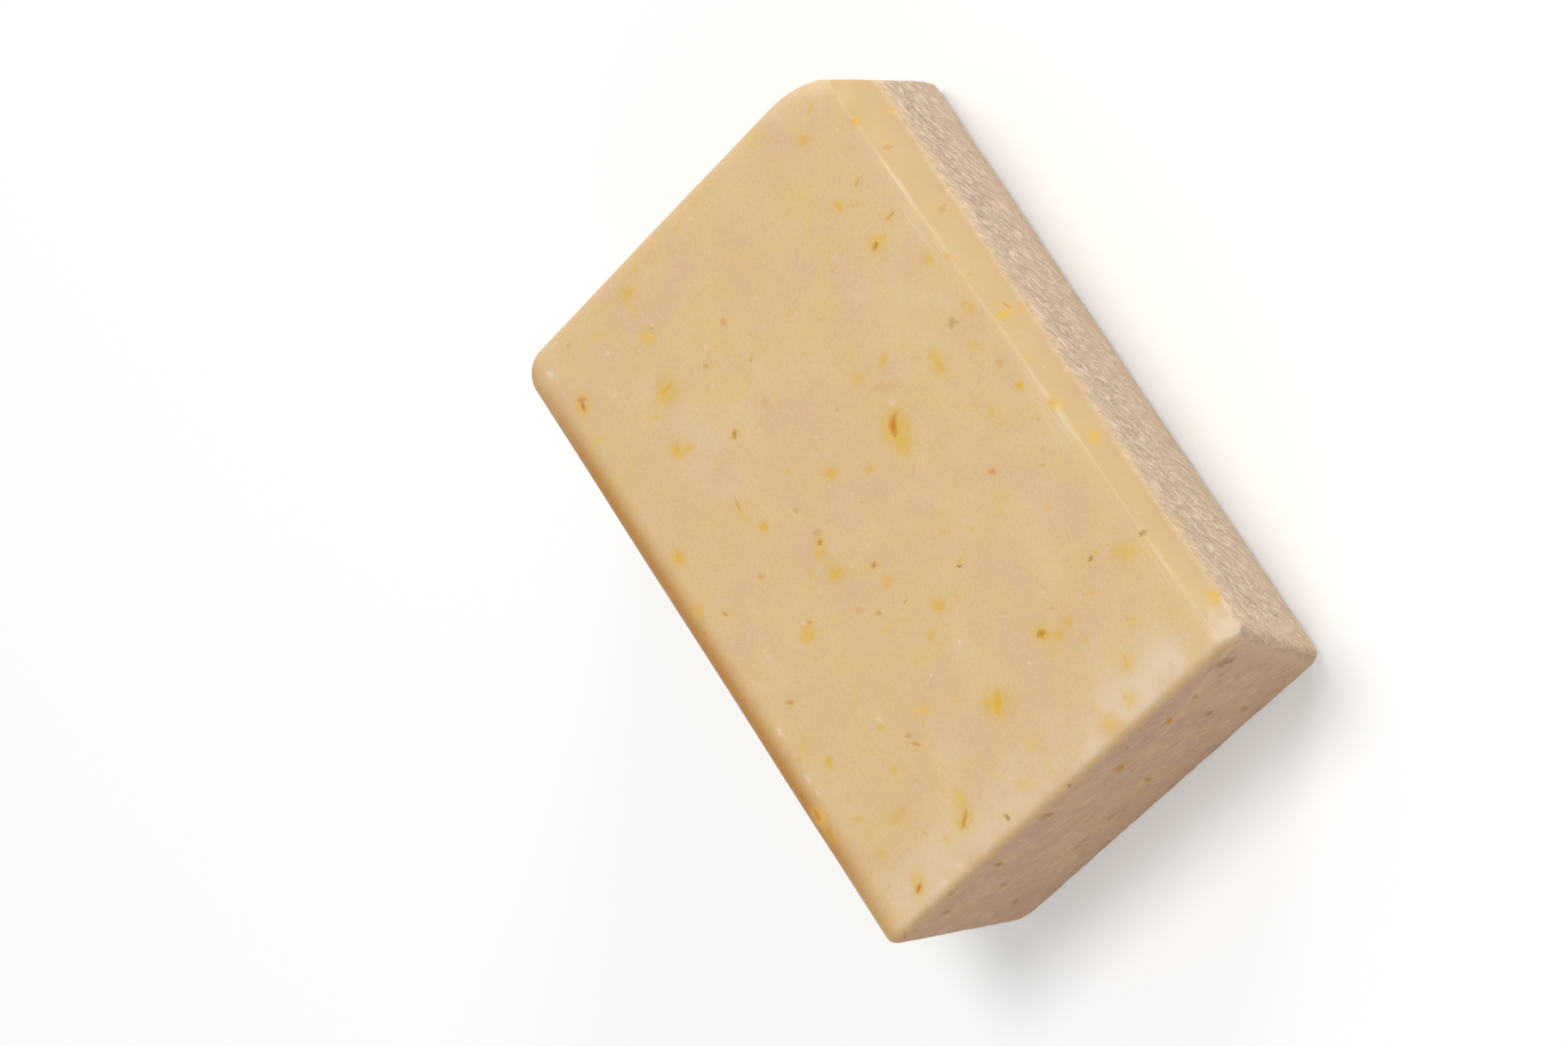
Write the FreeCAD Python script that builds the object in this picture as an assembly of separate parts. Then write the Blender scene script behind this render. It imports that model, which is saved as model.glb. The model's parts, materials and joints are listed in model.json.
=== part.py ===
import FreeCAD, Part
import math
import os

# A hand-cut bar of soap, lying flat on its large rough back face.
# X runs along the length, Y across the width and Z up through the thickness.
# The smooth front face is on top. The low X end and the low Y side are plain and smooth,
# the high Y side is grained, and the high X end is streaked where the loaf was sawn.

# Driving dimensions, in millimetres and degrees.

# The front face as first sawn, with its four corners still sharp.
length = 82.6
plain_end_width = 60.7
streaked_end_width = 60.1
streaked_end_skew = 0.45
thickness = 27.9

# How far the grained side leans inwards towards the back face.
grained_side_lean = 16.9

# The sloping strip shaved off between the front face and the grained side.
strip_inset_at_plain_end = 5.15
strip_inset_at_streaked_end = 3.0
strip_slope = 26.5

# The corner between the plain end and the grained side: it is trimmed off flat, and
# the plain end bends in towards the flat.
trim_depth = 5.8
trim_turn = 40.0
bend_radius = 14.0
bend_turn = 30.0

# Radii of the upright plain corner, and round the front, the back and the streaked end.
plain_corner_radius = 3.7
front_radius = 2.4
back_radius = 2.4
streaked_end_radius = 1.3

# How far the uncut block and the cutters reach past the finished bar.
allowance = 25.0

UP = FreeCAD.Vector(0, 0, 1)


def direction(start, end):
    """Unit vector from one point towards another."""
    return (end - start).normalize()


def turned(heading, angle):
    """A level heading, turned clockwise seen from above."""
    return FreeCAD.Rotation(UP, -angle).multVec(heading)


def raised(heading, angle):
    """A level heading, tipped up towards the front face."""
    tilt = math.radians(angle)
    return heading * math.cos(tilt) + UP * math.sin(tilt)


def front_corners():
    """Sharp corners of the front face, anticlockwise from the plain corner."""
    plain = FreeCAD.Vector(0, 0, thickness)
    streaked = FreeCAD.Vector(length, 0, thickness)
    grained = FreeCAD.Vector(length + streaked_end_skew, streaked_end_width, thickness)
    trimmed = FreeCAD.Vector(0, plain_end_width, thickness)
    return plain, streaked, grained, trimmed


def prism(outline, reach):
    """A closed wire carried along a vector to make a solid."""
    return Part.Face(outline).extrude(reach)


def bend_length():
    """From the sharp corner back to where the bend starts, for a bend that ends on the flat."""
    bend = math.radians(bend_turn)
    trim = math.radians(trim_turn)
    forwards = bend_radius * math.sin(bend)
    sideways = bend_radius * (1 - math.cos(bend))
    return forwards + (trim_depth - sideways * math.cos(trim)) / math.sin(trim)


def block():
    """The sawn block: final on three sides and oversize towards the grained side."""
    plain, streaked, grained, trimmed = front_corners()
    far_grained = grained + direction(streaked, grained) * allowance

    heading = direction(plain, trimmed)
    bend_foot = trimmed - heading * bend_length()
    centre = bend_foot + turned(heading, 90) * bend_radius
    bend_middle = centre - turned(heading, 90 + bend_turn / 2) * bend_radius
    bend_end = centre - turned(heading, 90 + bend_turn) * bend_radius
    far_trimmed = bend_end + turned(heading, bend_turn) * allowance

    outline = Part.Wire([
        Part.makeLine(plain, streaked),
        Part.makeLine(streaked, far_grained),
        Part.makeLine(far_grained, far_trimmed),
        Part.makeLine(far_trimmed, bend_end),
        Part.Arc(bend_end, bend_middle, bend_foot).toShape(),
        Part.makeLine(bend_foot, plain),
    ])
    return prism(outline, -UP * thickness)


def face_towards(shape, heading):
    """The face that looks most nearly along heading."""
    def agreement(face):
        umin, umax, vmin, vmax = face.ParameterRange
        return face.normalAt((umin + umax) / 2, (vmin + vmax) / 2).dot(heading)
    return max(shape.Faces, key=agreement)


def rounded_between(shape, heading, other_heading, radius):
    """Round the edge where two faces meet, and the edges that run on smoothly from it."""
    face = face_towards(shape, heading)
    other = face_towards(shape, other_heading)
    edges = [edge for edge in face.Edges if any(edge.isSame(twin) for twin in other.Edges)]
    return shape.makeFillet(radius, edges)


def cut_grained_side(shape):
    """Cut the leaning grained side, with its rounded back edge, by one shaped cutter."""
    plain, streaked, grained, trimmed = front_corners()
    along = direction(grained, trimmed)
    level = along.cross(UP)
    out_of_side = raised(level, -grained_side_lean)
    up_the_side = raised(level, 90 - grained_side_lean)
    start = grained - along * allowance

    lean = math.radians(grained_side_lean)
    height_of_arc = back_radius * (1 - math.sin(lean))
    arc_start = start - up_the_side * ((thickness - height_of_arc) / math.cos(lean))
    centre = arc_start - out_of_side * back_radius
    arc_middle = centre + raised(level, -(grained_side_lean + 90) / 2) * back_radius
    arc_end = centre - UP * back_radius

    top = start + up_the_side * allowance
    foot = arc_end - UP * allowance
    far_out = level * 3 * allowance
    outline = Part.Wire([
        Part.makeLine(top, arc_start),
        Part.Arc(arc_start, arc_middle, arc_end).toShape(),
        Part.makeLine(arc_end, foot),
        Part.makeLine(foot, foot + far_out),
        Part.makeLine(foot + far_out, top + far_out),
        Part.makeLine(top + far_out, top),
    ])
    return shape.cut(prism(outline, along * (length + 3 * allowance)))


def planed(shape, start, end, outwards):
    """Cut away all that lies outside the plane through start and end."""
    along = direction(start, end)
    across = outwards.cross(along)
    reach = length + allowance
    corner = (start + end) * 0.5 - (along + across) * reach
    square = Part.makePlane(2 * reach, 2 * reach, corner, outwards, along)
    return shape.cut(square.extrude(outwards * reach))


def shave_strip(shape):
    """Shave the sloping strip along the front face, beside the grained side."""
    plain, streaked, grained, trimmed = front_corners()
    start = grained + direction(grained, streaked) * strip_inset_at_streaked_end
    end = trimmed + direction(trimmed, plain) * strip_inset_at_plain_end
    level = direction(start, end).cross(UP)
    return planed(shape, start, end, raised(level, 90 - strip_slope))


def trim_corner(shape):
    """Cut the corner between the plain end and the grained side off flat."""
    plain, streaked, grained, trimmed = front_corners()
    along = turned(direction(plain, trimmed), trim_turn)
    outwards = turned(along, -90)
    start = trimmed - outwards * trim_depth
    return planed(shape, start, start + along * length, outwards)


def soap_bar():
    """The finished bar, with its origin under the middle of the back face."""
    plain_side = FreeCAD.Vector(0, -1, 0)
    plain_end = FreeCAD.Vector(-1, 0, 0)
    streaked_end = -plain_end

    shape = rounded_between(block(), plain_side, plain_end, plain_corner_radius)
    shape = rounded_between(shape, UP, plain_side, front_radius)
    shape = rounded_between(shape, -UP, plain_side, back_radius)
    shape = cut_grained_side(shape)
    rim = face_towards(shape, streaked_end).OuterWire.Edges
    shape = shape.makeFillet(streaked_end_radius, rim)
    shape = trim_corner(shave_strip(shape)).Solids[0]

    box = shape.optimalBoundingBox(False, False)
    shape.translate(FreeCAD.Vector(-box.Center.x, -box.Center.y, -box.ZMin))
    return shape


def main():
    """Write the bar's one piece and say how large it came out."""
    os.makedirs("parts", exist_ok=True)
    bar = soap_bar()
    bar.exportStep("parts/soap_bar.step")
    box = bar.optimalBoundingBox(False, False)
    print("soap_bar is", bar.ShapeType, "and valid is", bar.isValid(), "with faces", len(bar.Faces))
    print("size %.2f x %.2f x %.2f mm" % (box.XLength, box.YLength, box.ZLength))
    print("volume %.1f cm3" % (bar.Volume / 1000))


main()
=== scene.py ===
"""A hand-cut bar of soap flecked with petals, lying flat on a pale floor in soft studio light."""

import json
import logging
import math
import random
from dataclasses import dataclass
from enum import Enum
from typing import Any, Iterable, Optional, Union

import bmesh
import bpy
from mathutils import Matrix, Vector, noise
from mathutils.bvhtree import BVHTree
from mathutils.kdtree import KDTree

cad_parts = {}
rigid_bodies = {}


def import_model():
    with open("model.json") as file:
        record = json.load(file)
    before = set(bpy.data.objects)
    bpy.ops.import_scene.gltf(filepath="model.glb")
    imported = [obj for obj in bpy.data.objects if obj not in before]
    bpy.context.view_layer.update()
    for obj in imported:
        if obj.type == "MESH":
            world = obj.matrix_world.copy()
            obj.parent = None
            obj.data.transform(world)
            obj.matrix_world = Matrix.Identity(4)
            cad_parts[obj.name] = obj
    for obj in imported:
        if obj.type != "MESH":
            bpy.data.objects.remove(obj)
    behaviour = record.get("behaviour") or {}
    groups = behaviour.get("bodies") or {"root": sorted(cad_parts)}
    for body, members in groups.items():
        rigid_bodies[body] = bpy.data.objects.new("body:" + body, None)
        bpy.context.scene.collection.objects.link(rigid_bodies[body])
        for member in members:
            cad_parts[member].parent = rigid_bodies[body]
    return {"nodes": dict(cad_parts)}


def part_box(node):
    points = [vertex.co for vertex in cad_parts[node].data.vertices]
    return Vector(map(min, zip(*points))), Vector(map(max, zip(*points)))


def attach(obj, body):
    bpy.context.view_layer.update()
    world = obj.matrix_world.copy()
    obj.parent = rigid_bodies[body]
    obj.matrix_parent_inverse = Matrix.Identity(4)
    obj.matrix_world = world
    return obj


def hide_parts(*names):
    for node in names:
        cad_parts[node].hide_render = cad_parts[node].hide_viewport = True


for leftover in list(bpy.data.objects):
    bpy.data.objects.remove(leftover)

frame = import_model()

LOG = logging.getLogger("soap")
MM = 0.001
PICTURE_WIDTH = 1822
PICTURE_HEIGHT = 1216
SENSOR_WIDTH = 36.0

Colour = tuple[float, float, float]
Socket = Union[bpy.types.NodeSocket, float, tuple, Vector]


def linear(colour: Colour) -> tuple[float, float, float, float]:
    """Turn a display colour into the linear one that a shader takes.

    Args:
        colour: red, green and blue from 0 to 255.

    Returns:
        Red, green, blue and alpha from 0 to 1.
    """
    shares = [channel / 255 for channel in colour]
    light = [s / 12.92 if s <= 0.04045 else ((s + 0.055) / 1.055) ** 2.4 for s in shares]
    return light[0], light[1], light[2], 1.0


def fade(value: float, start: float, end: float) -> float:
    """Rise smoothly from 0 to 1 as a value goes from start to end.

    Args:
        value: the value that is looked at.
        start: where the result is 0.
        end: where the result is 1; it may be the lower of the two.

    Returns:
        A number from 0 to 1.
    """
    share = min(max((value - start) / (end - start), 0.0), 1.0)
    return share * share * (3 - 2 * share)


class Tone(Enum):
    """How ripe a petal fleck looks, as its place on the fleck colour ramp."""

    YELLOW = 0.0
    GOLDEN = 0.25
    OCHRE = 0.5
    ORANGE = 0.72
    BROWN = 1.0


@dataclass(frozen=True)
class Viewpoint:
    """Where the camera stands and what it aims at, in millimetres and degrees."""

    aim: Vector = Vector((-9.62, -19.14, 13.95))
    azimuth: float = 56.60
    elevation: float = 53.26
    roll: float = -95.23
    distance: float = 642.4
    focal_pixels: float = 6500.0

    def place(self) -> Matrix:
        """Work out the camera's matrix, in metres.

        Returns:
            The matrix whose first three columns point right, up and backwards.
        """
        azimuth, elevation = math.radians(self.azimuth), math.radians(self.elevation)
        roll = math.radians(self.roll)
        back = Vector((
            math.cos(azimuth) * math.cos(elevation),
            math.sin(azimuth) * math.cos(elevation),
            math.sin(elevation),
        ))
        level = Vector((0, 0, 1)).cross(back).normalized()
        upright = back.cross(level)
        up = upright * math.cos(roll) - level * math.sin(roll)
        matrix = Matrix((up.cross(back), up, back)).transposed().to_4x4()
        matrix.translation = (self.aim + back * self.distance) * MM
        return matrix

    def ray(self, x: float, y: float) -> tuple[Vector, Vector]:
        """Follow one point of the picture out into the scene.

        Args:
            x: pixels from the picture's left edge.
            y: pixels from the picture's top edge.

        Returns:
            The camera's place and the direction of the ray.
        """
        matrix = self.place()
        across = (x - PICTURE_WIDTH / 2) / self.focal_pixels
        upwards = (PICTURE_HEIGHT / 2 - y) / self.focal_pixels
        heading = matrix.to_3x3() @ Vector((across, upwards, -1))
        return matrix.translation, heading.normalized()

    def build(self) -> bpy.types.Object:
        """Make the camera and give it to the scene."""
        data = bpy.data.cameras.new("camera")
        data.sensor_width = SENSOR_WIDTH
        data.lens = self.focal_pixels * SENSOR_WIDTH / PICTURE_WIDTH
        camera = bpy.data.objects.new("camera", data)
        camera.matrix_world = self.place()
        bpy.context.scene.collection.objects.link(camera)
        bpy.context.scene.camera = camera
        return camera


@dataclass(frozen=True)
class Shape:
    """The bar's faces and edges, in millimetres, as the solid has them."""

    thickness: float = 27.9
    half_length: float = 41.52
    streaked_end_slant: float = 0.0075
    crease: tuple[Vector, Vector] = (Vector((40.21, 27.08, 27.9)), Vector((-35.86, 25.66, 27.9)))
    brow: tuple[Vector, Vector] = (Vector((40.23, 29.71, 26.59)), Vector((-34.54, 30.0, 25.75)))
    grained_side_lean: float = 16.9
    grained_side_turn: float = 0.414
    strip_slope: float = 26.5

    def grained(self) -> Vector:
        """Which way the grained side looks."""
        lean, turn = math.radians(self.grained_side_lean), math.radians(self.grained_side_turn)
        level = Vector((math.sin(turn), math.cos(turn), 0))
        return level * math.cos(lean) - Vector((0, 0, math.sin(lean)))

    def into_grained_side(self) -> tuple[Vector, float]:
        """The grained side's own plane; the distance from it is below 0 inside the bar."""
        return self.grained(), self.grained().dot(self.brow[0])

    def strip(self) -> Vector:
        """Which way the shaved strip looks."""
        slope = math.radians(self.strip_slope)
        return Vector((0, math.sin(slope), math.cos(slope)))

    def beyond_crease(self) -> tuple[Vector, float]:
        """The plane that stands between the front face and the strip."""
        return self.between(self.crease, Vector((0, 0, 1)), self.strip())

    def beyond_brow(self) -> tuple[Vector, float]:
        """The plane that stands between the strip and the grained side."""
        return self.between(self.brow, self.strip(), self.grained())

    def into_streaked_end(self) -> tuple[Vector, float]:
        """The streaked end's own plane; the distance from it is below 0 inside the bar."""
        normal = Vector((1, -self.streaked_end_slant, 0)).normalized()
        corner = Vector((self.half_length, 30.0, 0))
        return normal, normal.dot(corner)

    @staticmethod
    def between(edge: tuple[Vector, Vector], near: Vector, far: Vector) -> tuple[Vector, float]:
        """Find the plane that holds an edge and parts the two faces that meet there.

        Args:
            edge: the edge's two ends.
            near: which way the face on the low side looks.
            far: which way the face on the high side looks.

        Returns:
            The plane's unit normal and its distance from the origin.
        """
        along = (edge[1] - edge[0]).normalized()
        across = far - near
        normal = (across - along * across.dot(along)).normalized()
        return normal, normal.dot(edge[0])


@dataclass(frozen=True)
class Fleck:
    """One petal fleck or pale spot; x and y are pixels of the picture, and so are its sizes."""

    x: float
    y: float
    length: float
    width: float
    turn: float
    tone: Tone
    strength: float
    pale: bool = False
    bend: float = 0.0


YELLOW, GOLDEN, OCHRE, ORANGE, BROWN = Tone

# Flecks that stand out: place, length and width in pixels of the picture, turn
# anticlockwise from level in degrees, tone and strength.
FRONT_FLECKS = (
    Fleck(1039, 495, 29, 10, 94, ORANGE, 1.0, bend=0.8),
    Fleck(1050, 515, 26, 15, 130, GOLDEN, 0.38),
    Fleck(1158, 817, 27, 8, 88, GOLDEN, 1.0),
    Fleck(775, 452, 21, 5, 47, GOLDEN, 0.9),
    Fleck(768, 463, 10, 8, 60, YELLOW, 0.5),
    Fleck(730, 342, 20, 4, 50, GOLDEN, 0.7),
    Fleck(738, 313, 9, 5, -20, GOLDEN, 0.5),
    Fleck(736, 364, 7, 6, 0, YELLOW, 0.5),
    Fleck(757, 382, 4, 3, 0, OCHRE, 0.5),
    Fleck(752, 393, 18, 12, -40, YELLOW, 0.45),
    Fleck(692, 391, 14, 12, 0, YELLOW, 0.3),
    Fleck(677, 405, 5, 4, 0, YELLOW, 0.4),
    Fleck(660, 403, 4, 4, 0, BROWN, 0.25),
    Fleck(786, 267, 8, 4, 60, GOLDEN, 0.4),
    Fleck(840, 374, 9, 5, 85, ORANGE, 0.5),
    Fleck(833, 398, 12, 4, 80, YELLOW, 0.3),
    Fleck(820, 426, 7, 5, 60, OCHRE, 0.5),
    Fleck(872, 418, 7, 4, 70, OCHRE, 0.55),
    Fleck(735, 428, 5, 4, 0, GOLDEN, 0.3),
    Fleck(676, 465, 11, 6, 10, OCHRE, 0.8),
    Fleck(677, 473, 13, 5, -75, OCHRE, 0.95),
    Fleck(761, 485, 10, 5, 20, GOLDEN, 0.4),
    Fleck(694, 514, 14, 9, 60, YELLOW, 0.35),
    Fleck(853, 505, 11, 5, 90, OCHRE, 0.85),
    Fleck(786, 524, 14, 6, 95, GOLDEN, 0.9),
    Fleck(801, 520, 11, 6, 60, GOLDEN, 0.55),
    Fleck(889, 470, 13, 11, 0, ORANGE, 0.15),
    Fleck(1026, 419, 14, 6, 65, GOLDEN, 0.55),
    Fleck(997, 440, 17, 13, 0, GOLDEN, 0.4),
    Fleck(1028, 449, 20, 16, 0, ORANGE, 0.13),
    Fleck(1083, 413, 13, 5, 25, GOLDEN, 0.5),
    Fleck(1092, 425, 20, 5, -62, GOLDEN, 0.6),
    Fleck(1130, 403, 11, 8, 0, YELLOW, 0.35),
    Fleck(972, 477, 3, 3, 0, BROWN, 0.35),
    Fleck(984, 493, 3, 3, 0, OCHRE, 0.3),
    Fleck(1045, 451, 5, 3, -50, OCHRE, 0.3),
    Fleck(1152, 478, 13, 5, 95, GOLDEN, 0.5),
    Fleck(965, 550, 11, 10, 30, GOLDEN, 0.75),
    Fleck(1010, 546, 11, 6, 60, GOLDEN, 0.6),
    Fleck(915, 548, 7, 5, 0, GOLDEN, 0.45),
    Fleck(1153, 548, 9, 7, 0, ORANGE, 0.65),
    Fleck(924, 593, 7, 3, -60, OCHRE, 0.55),
    Fleck(857, 587, 17, 3, -65, ORANGE, 0.5),
    Fleck(867, 603, 15, 3, -40, YELLOW, 0.4),
    Fleck(887, 613, 9, 8, 60, GOLDEN, 0.95),
    Fleck(1002, 584, 4, 3, 0, OCHRE, 0.3),
    Fleck(963, 606, 6, 4, 60, ORANGE, 0.25),
    Fleck(949, 619, 8, 6, 0, OCHRE, 0.4),
    Fleck(952, 631, 7, 6, 90, OCHRE, 0.85),
    Fleck(952, 643, 13, 8, 25, GOLDEN, 0.55),
    Fleck(1015, 657, 9, 6, 65, OCHRE, 0.85),
    Fleck(971, 667, 17, 6, 50, GOLDEN, 0.8),
    Fleck(941, 667, 11, 5, 100, GOLDEN, 0.4),
    Fleck(884, 670, 7, 6, 0, OCHRE, 0.5),
    Fleck(1095, 619, 8, 6, 0, GOLDEN, 0.45),
    Fleck(1129, 615, 8, 6, 0, GOLDEN, 0.4),
    Fleck(1114, 658, 5, 4, 0, BROWN, 1.0),
    Fleck(1115, 652, 6, 4, 90, GOLDEN, 0.45),
    Fleck(1061, 545, 18, 3, 88, ORANGE, 0.2),
    Fleck(788, 649, 15, 7, 100, GOLDEN, 0.85),
    Fleck(802, 624, 5, 4, 0, GOLDEN, 0.3),
    Fleck(842, 714, 9, 3, -32, OCHRE, 0.7),
    Fleck(811, 710, 14, 8, 40, GOLDEN, 0.5),
    Fleck(940, 724, 7, 5, 0, OCHRE, 0.55),
    Fleck(937, 740, 17, 14, 20, GOLDEN, 0.5),
    Fleck(1020, 713, 7, 5, 0, OCHRE, 0.65),
    Fleck(1031, 677, 14, 11, 40, GOLDEN, 0.4),
    Fleck(1028, 732, 9, 6, 50, GOLDEN, 0.4),
    Fleck(1051, 700, 8, 3, 60, OCHRE, 0.5),
    Fleck(997, 709, 11, 8, 0, ORANGE, 0.2),
    Fleck(948, 766, 5, 4, 0, ORANGE, 0.25),
    Fleck(1091, 704, 14, 10, 30, GOLDEN, 0.6),
    Fleck(1111, 694, 11, 7, 60, GOLDEN, 0.35),
    Fleck(1081, 738, 14, 6, 50, GOLDEN, 0.5),
    Fleck(1267, 649, 9, 4, 55, BROWN, 0.6),
    Fleck(1271, 643, 6, 5, 55, GOLDEN, 0.5),
    Fleck(1211, 652, 6, 4, 90, GOLDEN, 0.3),
    Fleck(1209, 737, 12, 9, 35, OCHRE, 0.9),
    Fleck(1229, 739, 12, 10, 0, GOLDEN, 0.45),
    Fleck(1223, 707, 7, 5, -10, ORANGE, 0.3),
    Fleck(1240, 722, 10, 6, 0, GOLDEN, 0.6),
    Fleck(1261, 743, 9, 7, 50, GOLDEN, 0.45),
    Fleck(1267, 690, 16, 3, 18, GOLDEN, 0.35),
    Fleck(1225, 759, 10, 8, 80, YELLOW, 0.4),
    Fleck(918, 817, 10, 5, -20, OCHRE, 0.6),
    Fleck(1023, 845, 8, 6, 30, GOLDEN, 0.6),
    Fleck(1070, 825, 17, 12, 0, YELLOW, 0.45),
    Fleck(1056, 855, 8, 6, 0, OCHRE, 0.4),
    Fleck(1064, 865, 9, 4, -12, OCHRE, 0.7),
    Fleck(1110, 814, 11, 5, -70, YELLOW, 0.3),
    Fleck(933, 868, 24, 3, 78, YELLOW, 0.45),
    Fleck(928, 883, 6, 5, 0, GOLDEN, 0.5),
    Fleck(963, 886, 11, 6, 95, GOLDEN, 0.75),
    Fleck(1039, 894, 10, 4, 100, GOLDEN, 0.65),
    Fleck(997, 952, 8, 6, 0, GOLDEN, 0.55),
    Fleck(1048, 943, 12, 5, 75, GOLDEN, 0.45),
    Fleck(1039, 954, 14, 9, 60, GOLDEN, 0.35),
    Fleck(1024, 992, 14, 7, 75, GOLDEN, 0.4),
    Fleck(1114, 925, 15, 12, 0, YELLOW, 0.4),
    Fleck(1120, 954, 24, 5, 78, ORANGE, 0.75),
    Fleck(1099, 976, 8, 7, 0, YELLOW, 0.5),
    Fleck(1073, 967, 9, 4, -50, ORANGE, 0.2),
    Fleck(1067, 1033, 14, 6, 75, ORANGE, 0.95),
    Fleck(1066, 1019, 9, 8, 90, YELLOW, 0.3),
    Fleck(1170, 950, 9, 5, -55, BROWN, 0.65),
    Fleck(1189, 912, 13, 11, 0, YELLOW, 0.3),
    Fleck(1314, 720, 12, 5, 0, GOLDEN, 0.6),
    Fleck(1328, 620, 9, 7, 50, BROWN, 0.5),
    Fleck(1306, 642, 26, 18, 10, GOLDEN, 0.28),
    Fleck(1309, 771, 25, 4, -65, GOLDEN, 0.5),
    Fleck(1314, 814, 16, 5, 75, YELLOW, 0.6),
    Fleck(1307, 811, 5, 4, 0, GOLDEN, 0.5),
    Fleck(1289, 841, 20, 16, 0, YELLOW, 0.4),
    Fleck(1271, 821, 10, 6, 90, YELLOW, 0.3),
    Fleck(1202, 866, 20, 14, 0, YELLOW, 0.3),
    Fleck(1120, 354, 9, 4, 40, GOLDEN, 0.6),
    Fleck(1128, 360, 11, 5, 100, GOLDEN, 0.65),
    Fleck(1107, 375, 12, 9, 50, BROWN, 0.3),
    Fleck(1130, 402, 8, 6, 0, YELLOW, 0.3),
    Fleck(1161, 422, 10, 8, 0, OCHRE, 0.35),
    Fleck(1184, 448, 9, 8, 0, GOLDEN, 0.85),
    Fleck(1132, 471, 10, 9, 0, GOLDEN, 0.25),
    Fleck(1211, 522, 5, 5, 0, OCHRE, 0.35),
    Fleck(1211, 541, 6, 4, 0, OCHRE, 0.3),
    Fleck(1218, 590, 8, 7, 0, GOLDEN, 0.4),
    Fleck(941, 126, 15, 6, 78, GOLDEN, 0.35),
    Fleck(932, 162, 16, 12, 60, GOLDEN, 0.45),
    Fleck(994, 141, 10, 8, 0, GOLDEN, 0.55),
    Fleck(995, 212, 12, 3, 65, OCHRE, 0.55),
    Fleck(974, 240, 12, 7, -60, GOLDEN, 0.75),
    Fleck(991, 238, 10, 8, 0, ORANGE, 0.15),
    Fleck(1034, 251, 13, 4, 40, OCHRE, 0.65),
    Fleck(1017, 286, 13, 5, 70, OCHRE, 0.9),
    Fleck(1023, 279, 12, 9, 45, GOLDEN, 0.35),
    Fleck(1079, 302, 11, 7, -10, GOLDEN, 0.55),
    Fleck(1101, 298, 8, 6, 45, GOLDEN, 0.55),
    Fleck(967, 315, 7, 5, 0, ORANGE, 0.2),
    Fleck(916, 366, 14, 4, 82, GOLDEN, 0.3),
)
STRIP_FLECKS = (
    Fleck(1031, 171, 11, 5, 0, OCHRE, 0.55),
    Fleck(1037, 128, 12, 9, 0, YELLOW, 0.4),
    Fleck(1095, 242, 10, 8, 60, OCHRE, 0.35),
    Fleck(1170, 355, 11, 3, -35, OCHRE, 0.65),
    Fleck(1166, 366, 14, 7, 10, GOLDEN, 0.6),
    Fleck(1188, 360, 11, 5, 90, GOLDEN, 0.45),
    Fleck(1194, 416, 12, 3, -8, GOLDEN, 0.45),
    Fleck(1222, 467, 13, 5, -32, GOLDEN, 0.65),
    Fleck(1231, 472, 8, 6, -50, YELLOW, 0.5),
    Fleck(1271, 508, 16, 11, -10, GOLDEN, 0.45),
    Fleck(1409, 693, 20, 14, -60, GOLDEN, 0.45),
    Fleck(1372, 602, 18, 10, -55, YELLOW, 0.2),
)
END_FLECKS = (
    Fleck(1359, 839, 10, 6, 22, OCHRE, 0.9),
    Fleck(1405, 831, 11, 5, 35, BROWN, 0.6),
    Fleck(1447, 825, 9, 5, 30, BROWN, 0.35),
    Fleck(1302, 894, 11, 6, 30, OCHRE, 0.85),
    Fleck(1335, 907, 8, 5, 30, BROWN, 0.6),
    Fleck(1311, 870, 5, 4, 0, BROWN, 0.45),
    Fleck(1243, 914, 7, 4, 20, BROWN, 0.6),
    Fleck(1219, 948, 14, 4, 22, BROWN, 0.5),
    Fleck(1212, 953, 8, 3, 20, BROWN, 0.35),
    Fleck(1162, 1006, 12, 5, 22, BROWN, 0.7),
    Fleck(1390, 812, 6, 4, 30, BROWN, 0.5),
    Fleck(1424, 771, 22, 6, 28, BROWN, 0.45),
    Fleck(1438, 749, 8, 4, 30, ORANGE, 0.5),
    Fleck(1421, 786, 8, 4, 10, BROWN, 0.3),
    Fleck(1260, 980, 22, 3, 42, BROWN, 0.3),
    Fleck(1290, 952, 18, 3, 42, BROWN, 0.25),
    Fleck(1107, 1040, 14, 5, 30, BROWN, 0.3),
    Fleck(1100, 1062, 7, 4, 20, BROWN, 0.4),
    Fleck(1168, 1030, 9, 4, 30, BROWN, 0.35),
    Fleck(1180, 1049, 12, 4, 30, BROWN, 0.35),
    Fleck(1052, 1090, 5, 4, 0, BROWN, 0.35),
)
RIM_FLECKS = (
    Fleck(949, 948, 15, 6, -60, ORANGE, 0.8),
    Fleck(964, 971, 18, 9, -62, ORANGE, 0.45),
    Fleck(931, 926, 7, 3, -60, BROWN, 0.45),
    Fleck(818, 737, 7, 5, -60, ORANGE, 0.7),
)
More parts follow.
